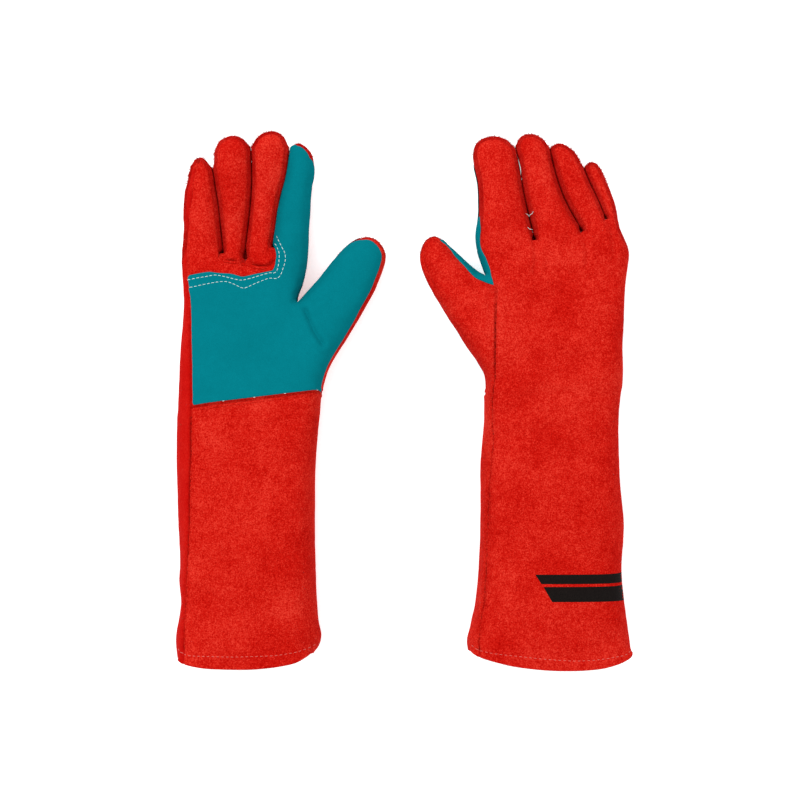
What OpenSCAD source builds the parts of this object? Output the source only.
// Two long welding gauntlets of split leather lying side by side, the first palm up, the second palm down.
// Frame: +Z up from the surface they lie on, +Y towards the fingertips, +X across the pair.
// Every layer of a glove is a thin wall along the same tubes: a cuff, a hand, four fingers and a thumb.

/* [Pair] */
// Distance between the two gloves' centre lines
pair_spacing = 231; // [225:1:300]

/* [Cuff] */
// Length of the gauntlet cuff, from the wrist seam to the hem
cuff_length = 202; // [170:1:240]
// Height of the open cuff as it lies
cuff_depth = 70; // [64:1:80]

/* [Layers] */
// Thickness of the split leather shell
leather = 1.4; // [1.0:0.1:1.5]
// Thickness of the reinforcing patch leather
patch = 1.2; // [0.8:0.1:1.2]
// Thickness of the fleece lining
lining = 1.6; // [1.0:0.1:1.8]
// Gap that a seam leaves between two pieces
seam_gap = 0.3; // [0.2:0.05:0.4]

/* [Folds] */
// Half the length of the leather that folds at the base of each finger and thumb
fold_half = 11; // [11:0.5:12]
// Half the length of the leather that folds at the wrist
wrist_half = 12; // [12:0.5:13]

/* [Hidden] */
GLOVES = ["glove1", "glove2"];
FINGERS = ["index", "middle", "ring", "little"];
CUFF_NODES = ["cuff_front", "cuff_back", "cuff_lining", "wrist_fold"];
HAND_NODES = ["palm_panel", "palm_patch", "hand_back", "hand_lining", "base_folds"];
FINGER_NODES = ["front", "back", "fourchette", "lining"];
THUMB_NODES = ["thumb_front", "thumb_back", "thumb_patch", "thumb_lining"];

red = [0.83, 0.09, 0.06];
dark_red = [0.62, 0.05, 0.04];
teal = [0.0, 0.47, 0.50];
cotton = [0.86, 0.84, 0.78];

// Angles round a tube: 0 is the thumb side, 90 the palm, 180 the little finger side and 270 the back.
// turn brings them to the glove as it lies, palm up or palm down.
turn = [0, 180];
centre_x = [-pair_spacing / 2, pair_spacing / 2];
roundness = 2.3;          // exponent of the tubes' superellipse sections
cuff_roundness = 2.6;
layer_gap = 0.2;          // clearance between one layer and the next
lining_in = leather + layer_gap;
lining_out = lining_in + lining;
patch_out = patch + layer_gap;
socket_gap = 0.5;         // clearance of the hand's panels round the thumb

// Where each glove's fingers fold, as the distance past the wrist seam
knuckle = [112, 125];
// Each thumb's base: [x from the centre line, distance past the wrist, lean from +Y]
thumb_base = [[57.5, 63, -27.5], [-66, 76, 29]];

// Tubes, as rows of [distance along, left, right, bottom, top, bow, skew], sections across the tube.
// bow and skew move a section's sides along the tube, for a hem that is curved.
c = cuff_length;
d = cuff_depth;
cuff_tube = [
    [[-c, -55.5, 53.5, -4, d, 12, 4], [-0.9 * c, -55, 53, -4, 0.99 * d, 7, 3],
     [-0.74 * c, -51.5, 50.5, -4, 0.97 * d, 2, 0], [-0.6 * c, -52, 50, -4, 0.95 * d, 0, 0],
     [-0.45 * c, -53.5, 49, -4, 0.92 * d, 0, 0], [-0.3 * c, -54.5, 49, -3.5, 0.88 * d, 0, 0],
     [-0.15 * c, -55, 50.5, -2.5, 0.84 * d, 0, 0], [0, -54.5, 53.5, -1, 56, 0, 0],
     [12, -53.5, 56, 0, 54, 0, 0]],
    [[-c, -67, 56.5, -4, d, 14, -1], [-0.9 * c, -66, 55.5, -4, 0.99 * d, 8, 0],
     [-0.74 * c, -60.5, 51.5, -4, 0.97 * d, 2, 0], [-0.6 * c, -57.5, 50.5, -4, 0.95 * d, 0, 0],
     [-0.45 * c, -57, 51, -4, 0.93 * d, 0, 0], [-0.3 * c, -56.5, 48.5, -3.5, 0.9 * d, 0, 0],
     [-0.15 * c, -55.5, 48, -2.5, 0.87 * d, 0, 0], [0, -53.5, 48.5, -1, 59, 0, 0],
     [12, -52.5, 50, 0.5, 58, 0, 0]]];

hand_tube = [
    [[0, -54, 53.5, 0, 55.5, 0, 0], [12, -53.5, 56, 0, 54, 0, 0], [30, -53, 61, 0, 51, 0, 0],
     [44, -52.5, 68.5, 0.3, 49, 0, 0], [52, -52, 71, 0.6, 48, 0, 0], [60, -51.5, 61, 1, 46, 0, 0],
     [68, -51.5, 48, 1.5, 44, 0, 0], [75, -51, 39.5, 2.2, 42, 0, 0], [82, -51, 39, 3, 40, 0, 0],
     [90, -51, 40.5, 4, 37, 0, 0], [102, -51.5, 42, 5, 33, 0, 0]],
    [[0, -53, 49, 1.5, 58.5, 0, 0], [12, -52.5, 50, 1.5, 58, 0, 0], [24, -55, 51.5, 1.5, 57.5, 0, 0],
     [45, -69.5, 51, 1.6, 56, 0, 0], [59, -78.5, 51.5, 2.2, 54.5, 0, 0], [66, -80.5, 52, 2.8, 53, 0, 0],
     [72, -71, 52, 3.5, 51.5, 0, 0], [80, -57, 52.5, 4.5, 49.5, 0, 0], [87, -52, 53, 5.5, 47.5, 0, 0],
     [98, -53.5, 54.5, 7.5, 44.5, 0, 0], [115, -57, 54.5, 10.5, 41, 0, 0]]];

index_tube = [
    [[88, 22, 41.5, 6, 31, 0, 0], [110, 22, 42.5, 6, 30.5, 0, 0], [130, 23, 43, 6.5, 30, 0, 0],
     [152, 26, 45, 8, 31, 0, 0], [175, 29, 47.5, 10.5, 33, 0, 0], [192, 30, 47, 12.5, 34.5, 0, 0]],
    [[96, -54.5, -14.4, 8, 40, 0, 0], [114, -57, -15.6, 10.5, 40, 0, 0], [130, -57, -18.9, 11, 40, 0, 0],
     [152, -57, -23.4, 9, 38, 0, 0], [168, -58, -26.6, 7, 36, 0, 0], [188, -61.5, -29.8, 5, 33, 0, 0],
     [203, -62, -31, 4, 31, 0, 0]]];
middle_tube = [
    [[88, -1.2, 20.5, 5, 32.5, 0, 0], [110, -2, 20.5, 5.5, 32, 0, 0], [130, -0.8, 21.4, 6.5, 33, 0, 0],
     [152, 0.5, 25, 9, 35, 0, 0], [175, 0.6, 28, 13, 38.5, 0, 0], [204, 2, 26.5, 19, 43, 0, 0]],
    [[96, -12.4, 12.8, 8.5, 40.5, 0, 0], [114, -13.4, 10.8, 11, 40.5, 0, 0], [130, -16.3, 8, 12, 40.5, 0, 0],
     [147, -19.6, 4.8, 11, 39.5, 0, 0], [162, -22.9, 1.8, 9, 37, 0, 0], [180, -26.4, -1.6, 6.5, 34, 0, 0],
     [203, -28.5, -5, 4, 31, 0, 0]]];
ring_tube = [
    [[88, -20.5, -2.2, 5, 32, 0, 0], [110, -19.5, -3, 5.5, 31.5, 0, 0], [130, -22, -1.8, 6.5, 32.5, 0, 0],
     [152, -24.5, -0.5, 8.5, 34, 0, 0], [175, -27.5, -0.5, 12, 37, 0, 0], [200, -26.5, -3, 17, 40, 0, 0]],
    [[96, 14.8, 35.4, 8.5, 39.5, 0, 0], [114, 13.2, 34.2, 11, 39.5, 0, 0], [130, 10.4, 31.8, 11.5, 39, 0, 0],
     [147, 7.2, 28.6, 10, 37.5, 0, 0], [162, 4.2, 25, 7.5, 34.5, 0, 0], [180, 0.8, 20, 5, 31, 0, 0],
     [196, -3, 16, 3.5, 28.5, 0, 0]]];
little_tube = [
    [[88, -51.5, -22, 6, 31, 0, 0], [110, -51.5, -22.5, 6, 30, 0, 0], [130, -50.5, -24.2, 7, 30, 0, 0],
     [150, -50.5, -26.5, 9, 31, 0, 0], [167, -48.5, -29, 11, 32.5, 0, 0], [184, -46, -31, 14, 33, 0, 0]],
    [[96, 37.4, 54.5, 8.5, 37.5, 0, 0], [114, 36.6, 54.5, 11, 37, 0, 0], [130, 34.2, 51.5, 11, 35.5, 0, 0],
     [147, 31, 46.8, 9.5, 33, 0, 0], [162, 27.6, 42, 7, 29, 0, 0], [182, 22.4, 36, 4.5, 24.5, 0, 0]]];
finger_tubes = [index_tube, middle_tube, ring_tube, little_tube];
// Length of each rounded fingertip, in the order of FINGERS
tip_round = [[9.5, 14], [13, 12], [13, 11], [10, 9]];

thumb_tube = [
    [[-14, -25, 21, 8, 40, 0, 0], [0, -24, 22, 8, 38, 0, 0], [12, -21.5, 23, 8.5, 37.5, 0, 0],
     [24, -18.5, 23, 9, 37, 0, 0], [36, -15.5, 22.5, 9.5, 36.5, 0, 0], [48, -13.5, 21.5, 10, 36, 0, 0],
     [70.5, -9, 19, 12, 36, 0, 0]],
    [[-14, -19.5, 20, 9, 42, 0, 0], [0, -19.5, 19, 8.5, 39.5, 0, 0], [10, -19.8, 16, 8, 37.5, 0, 0],
     [20, -19.5, 12.5, 7.5, 35.5, 0, 0], [30, -19.5, 10.8, 7, 33.5, 0, 0], [40, -18.5, 9, 6, 31.5, 0, 0],
     [57, -16, 7, 4.5, 28.5, 0, 0]]];
thumb_round = [14, 12];

// Seams round the tubes, as the angles that a panel runs between
cuff_seams = [-27, 140];
hand_seams = [0, 140];
front_span = [[-20, 144], [36, 144], [36, 144], [36, 124]];
back_span = [[216, 340], [216, 324], [216, 324], [124, 324]];
side_spans = [[[144, 216]], [[144, 216], [324, 396]], [[144, 216], [324, 396]], [[324, 396]]];
thumb_seams = [30, 200];

tip_angles = [24, 47, 67, 85];  // rings of a rounded tip, from its base to its point
side_cells = 2;
front_cells = 5;
back_cells = 6;
finger_rings = 5;

// The row of a tube's table at distance v, on a smooth curve through its rows
function row_before(rows, v, i = 0) =
    i >= len(rows) - 2 || v < rows[i + 1][0] ? i : row_before(rows, v, i + 1);
function slope(rows, i) =
    let (a = max(0, i - 1), b = min(len(rows) - 1, i + 1)) (rows[b] - rows[a]) / (rows[b][0] - rows[a][0]);
function row_at(rows, v) =
    let (i = row_before(rows, v), h = rows[i + 1][0] - rows[i][0], t = (v - rows[i][0]) / h)
    (2 * t ^ 3 - 3 * t ^ 2 + 1) * rows[i] + (t ^ 3 - 2 * t ^ 2 + t) * h * slope(rows, i)
    + (3 * t ^ 2 - 2 * t ^ 3) * rows[i + 1] + (t ^ 3 - t ^ 2) * h * slope(rows, i + 1);

// Point at angle a of the tube's section, inset from its outer surface. tip is the angle up a rounded end.
function power(x, e) = sign(x) * abs(x) ^ (2 / e);
function wall_point(rows, v, a, inset, e, tip = 0, round_length = 0) =
    let (r = row_at(rows, v), shrink = cos(tip),
         half_w = ((r[2] - r[1]) / 2 - inset) * shrink, half_h = ((r[4] - r[3]) / 2 - inset) * shrink,
         s = power(cos(a), e))
    [(r[1] + r[2]) / 2 + half_w * s,
     v + r[5] * s ^ 2 + r[6] * s + (round_length - inset) * sin(tip),
     max((r[3] + r[4]) / 2 + half_h * power(sin(a), e), inset)];

// Rings of a wall: [distance along, angle up the rounded tip]
function rings(from, to, count, round_length = 0) =
    let (last = to - round_length)
    concat([for (i = [0:count]) [from + (last - from) * i / count, 0]],
           round_length > 0 ? [for (t = tip_angles) [last, t]] : []);

// Angles across a panel, drawn in a little at both ends to leave the seam's gap
function panel(span, cells, trim = 0) = [for (j = [0:cells])
    span[0] + (span[1] - span[0]) * j / cells + (j == 0 ? trim : j == cells ? -trim : 0)];
// Angles all the way round a tube, the same as its panels' so that the layers lie parallel
function all_round(spans, cells) = [for (k = [0:len(spans) - 1], j = [0:cells[k] - 1])
    spans[k][0] + (spans[k][1] - spans[k][0]) * j / cells[k]];

// A wall between two insets of a tube, over the angles given: a closed thin solid
module wall(rows, ring_list, angles, outer, inner, e = roundness, round_length = 0, whole = false) {
    n = len(angles);
    cells = whole ? n : n - 1;
    m = len(ring_list);
    points = [for (inset = [inner, outer], r = ring_list, angle = angles)
        wall_point(rows, r[0], angle, inset, e, r[1], round_length)];
    function id(side, i, j) = (side * m + i) * n + j % n;
    skins = [for (i = [0:m - 2], j = [0:cells - 1]) each [
        [id(0, i, j), id(0, i + 1, j), id(0, i + 1, j + 1)],
        [id(0, i, j), id(0, i + 1, j + 1), id(0, i, j + 1)],
        [id(1, i, j), id(1, i + 1, j + 1), id(1, i + 1, j)],
        [id(1, i, j), id(1, i, j + 1), id(1, i + 1, j + 1)]]];
    ends = [for (j = [0:cells - 1]) each [
        [id(0, 0, j), id(0, 0, j + 1), id(1, 0, j + 1)], [id(0, 0, j), id(1, 0, j + 1), id(1, 0, j)],
        [id(0, m - 1, j), id(1, m - 1, j + 1), id(0, m - 1, j + 1)],
        [id(0, m - 1, j), id(1, m - 1, j), id(1, m - 1, j + 1)]]];
    sides = whole ? [] : [for (i = [0:m - 2]) each [
        [id(0, i, 0), id(1, i, 0), id(1, i + 1, 0)], [id(0, i, 0), id(1, i + 1, 0), id(0, i + 1, 0)],
        [id(0, i, cells), id(1, i + 1, cells), id(1, i, cells)],
        [id(0, i, cells), id(0, i + 1, cells), id(1, i + 1, cells)]]];
    polyhedron(points, concat(skins, ends, sides));
}

// A solid plug that fills a tube, for cutting a socket round it
module plug(rows, ring_list, cells, outset) {
    m = len(ring_list);
    points = [for (r = ring_list, j = [0:cells - 1])
        wall_point(rows, r[0], 360 * j / cells, -outset, roundness)];
    polyhedron(points, concat(
        [for (i = [0:m - 2], j = [0:cells - 1]) each [
            [i * cells + j, (i + 1) * cells + (j + 1) % cells, (i + 1) * cells + j],
            [i * cells + j, i * cells + (j + 1) % cells, (i + 1) * cells + (j + 1) % cells]]],
        [[for (j = [cells - 1:-1:0]) j], [for (j = [0:cells - 1]) (m - 1) * cells + j]]));
}

// The same angles on glove g as it lies
function lying(g, angles) = [for (angle = angles) angle + turn[g]];
function trim_for(half_width) = seam_gap / 2 / half_width * 180 / PI;
cuff_trim = trim_for(50);
finger_trim = trim_for(12);

module place(g) translate([centre_x[g], 0, 0]) children();
module place_thumb(g) place(g)
    translate([thumb_base[g][0], thumb_base[g][1], 0]) rotate([0, 0, thumb_base[g][2]]) children();

module cuff_wall(g, angles, outer, inner, whole = false)
    wall(cuff_tube[g], rings(-cuff_length, -wrist_half, 7), lying(g, angles), outer, inner, cuff_roundness,
         0, whole);
cuff_back_seams = [cuff_seams[1], cuff_seams[0] + 360];
cuff_cells = [9, 10];
cuff_round = all_round([cuff_seams, cuff_back_seams], cuff_cells);

module cuff_front(g) color(red) place(g)
    cuff_wall(g, panel(cuff_seams, cuff_cells[0], cuff_trim), 0, leather);
module cuff_back(g) color(red) place(g)
    cuff_wall(g, panel(cuff_back_seams, cuff_cells[1], cuff_trim), 0, leather);
module cuff_lining(g) color(cotton) place(g)
    cuff_wall(g, cuff_round, lining_in, lining_out, true);
module wrist_fold(g) color(dark_red) place(g)
    wall(cuff_tube[g], rings(-wrist_half + layer_gap, wrist_half - layer_gap, 2), lying(g, cuff_round),
         0, leather, cuff_roundness, 0, true);

hand_start = wrist_half;
function hand_end(g) = knuckle[g] - fold_half;
module thumb_socket(g) place_thumb(g)
    plug(thumb_tube[g], [for (v = [-14, 0, 12, 24, 36]) [v, 0]], 14, socket_gap);
module hand_wall(g, angles, outer, inner, whole = false) difference() {
    place(g) wall(hand_tube[g], rings(hand_start, hand_end(g), 10), lying(g, angles), outer, inner,
                  roundness, 0, whole);
    thumb_socket(g);
}
hand_back_seams = [hand_seams[1], 360];
hand_cells = [8, 10];
module palm_panel(g) color(red) hand_wall(g, panel(hand_seams, hand_cells[0], cuff_trim), 0, leather);
module hand_back(g) color(red) hand_wall(g, panel(hand_back_seams, hand_cells[1], cuff_trim), 0, leather);
module hand_lining(g) color(cotton)
    hand_wall(g, all_round([hand_seams, hand_back_seams], hand_cells), lining_in, lining_out, true);
module palm_patch(g) color(teal)
    hand_wall(g, panel(hand_seams, hand_cells[0], cuff_trim), -patch_out, -layer_gap);

module base_folds(g) color(dark_red) {
    place(g) for (f = [0:3])
        wall(finger_tubes[f][g], rings(hand_end(g) + layer_gap, knuckle[g] + fold_half - layer_gap, 2),
             all_round([[0, 360]], [12]), 0, leather, roundness, 0, true);
    place_thumb(g) wall(thumb_tube[g], rings(-fold_half + layer_gap, fold_half - layer_gap, 2),
                        all_round([[0, 360]], [14]), 0, leather, roundness, 0, true);
}

function finger_tip(f, g) = let (rows = finger_tubes[f][g]) rows[len(rows) - 1][0];
module finger_wall(f, g, angles, outer, inner, whole = false) place(g)
    wall(finger_tubes[f][g],
         rings(knuckle[g] + fold_half, finger_tip(f, g), finger_rings, tip_round[f][g]),
         lying(g, angles), outer, inner, roundness, tip_round[f][g], whole);
module finger_front(f, g) color(red)
    finger_wall(f, g, panel(front_span[f], front_cells, finger_trim), 0, leather);
module finger_back(f, g) color(red)
    finger_wall(f, g, panel(back_span[f], back_cells, finger_trim), 0, leather);
module fourchette(f, g) color(dark_red) for (span = side_spans[f])
    finger_wall(f, g, panel(span, side_cells, finger_trim), 0, leather);
// Round a finger in order: front panel, side strips before the back panel, back panel, strips after it
function strips(f, before) = [for (span = side_spans[f]) if ((span[0] < back_span[f][0]) == before)
    each all_round([span], [side_cells])];
function round_finger(f) = concat(all_round([front_span[f]], [front_cells]), strips(f, true),
                                  all_round([back_span[f]], [back_cells]), strips(f, false));
module finger_lining(f, g) color(cotton)
    finger_wall(f, g, round_finger(f), lining_in, lining_out, true);
module index_patch(g) color(teal)
    finger_wall(0, g, panel(front_span[0], front_cells, finger_trim), -patch_out, -layer_gap);

module thumb_wall(g, angles, outer, inner, whole = false) place_thumb(g)
    wall(thumb_tube[g],
         rings(fold_half, thumb_tube[g][len(thumb_tube[g]) - 1][0], finger_rings, thumb_round[g]),
         lying(g, angles), outer, inner, roundness, thumb_round[g], whole);
thumb_back_seams = [thumb_seams[1], thumb_seams[0] + 360];
module thumb_front(g) color(red) thumb_wall(g, panel(thumb_seams, back_cells, finger_trim), 0, leather);
module thumb_back(g) color(red) thumb_wall(g, panel(thumb_back_seams, back_cells, finger_trim), 0, leather);
module thumb_patch(g) color(teal)
    thumb_wall(g, panel(thumb_seams, back_cells, finger_trim), -patch_out, -layer_gap);
module thumb_lining(g) color(cotton)
    thumb_wall(g, all_round([thumb_seams, thumb_back_seams], [back_cells, back_cells]),
               lining_in, lining_out, true);

for (g = [0, 1]) {
    name = GLOVES[g];
    cuff_front(g);
    cuff_back(g);
    cuff_lining(g);
    wrist_fold(g);
    palm_panel(g);
    palm_patch(g);
    hand_back(g);
    hand_lining(g);
    base_folds(g);
    index_patch(g);
    thumb_front(g);
    thumb_back(g);
    thumb_patch(g);
    thumb_lining(g);
    for (f = [0:3]) {
        finger = str(name, "_", FINGERS[f]);
        finger_front(f, g);
        finger_back(f, g);
        fourchette(f, g);
        finger_lining(f, g);
    }
}
